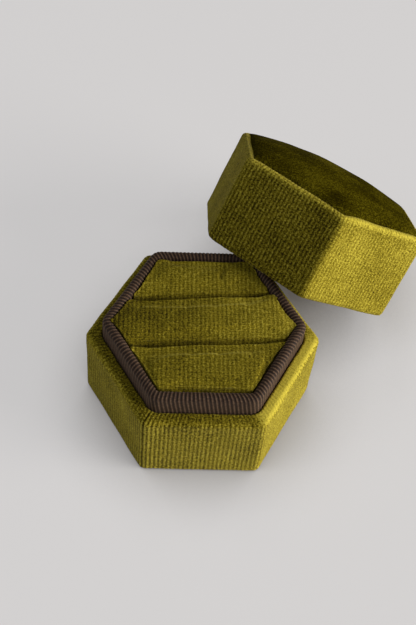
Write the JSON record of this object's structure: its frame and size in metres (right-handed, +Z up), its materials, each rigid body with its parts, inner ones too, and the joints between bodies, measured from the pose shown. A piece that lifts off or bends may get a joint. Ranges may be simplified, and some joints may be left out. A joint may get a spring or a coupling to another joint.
{
  "type": "ring box",
  "caption": "Hexagonal velvet ring box with a padded lift-off lid, shown off and leaning on the base; a ribbed ribbon collar guides the lid and surrounds padded cushions with ring slots.",
  "frame": {"origin": "centre of the base's underside, on the surface that the box stands on", "axes": "+Z up; -Y points out of the base's side that faces the viewer; +X to that viewer's right; the lid leans on the base's back right corner"},
  "size_m": [0.0792, 0.084, 0.0454],
  "materials": {
    "velvet": "matte",
    "ribbon": "satin",
    "board": "matte",
    "foam": "matte"
  },
  "bodies": {
    "base": {"base_velvet_cover": "velvet", "base_underside_sheet": "velvet", "front_pad_velvet": "velvet", "middle_pad_velvet": "velvet", "rear_pad_velvet": "velvet", "collar_ribbon": "ribbon", "base_wall_band": "board", "base_floor_board": "board", "collar_frame": "board", "cushion_bed": "foam", "front_pad_foam": "foam", "middle_pad_foam": "foam", "rear_pad_foam": "foam"},
    "lid": {"lid_velvet_cover": "velvet", "lid_wall_band": "board", "lid_top_pad": "foam", "lid_top_board": "board", "lid_lining_band": "velvet", "lid_ceiling_card": "board", "lid_ceiling_velvet": "velvet"}
  },
  "joints": [
    {"name": "lid_lift", "type": "slide", "parent": "base", "child": "lid", "axis": [0, 0, 1], "range_m": [0, 0.05]}
  ]
}
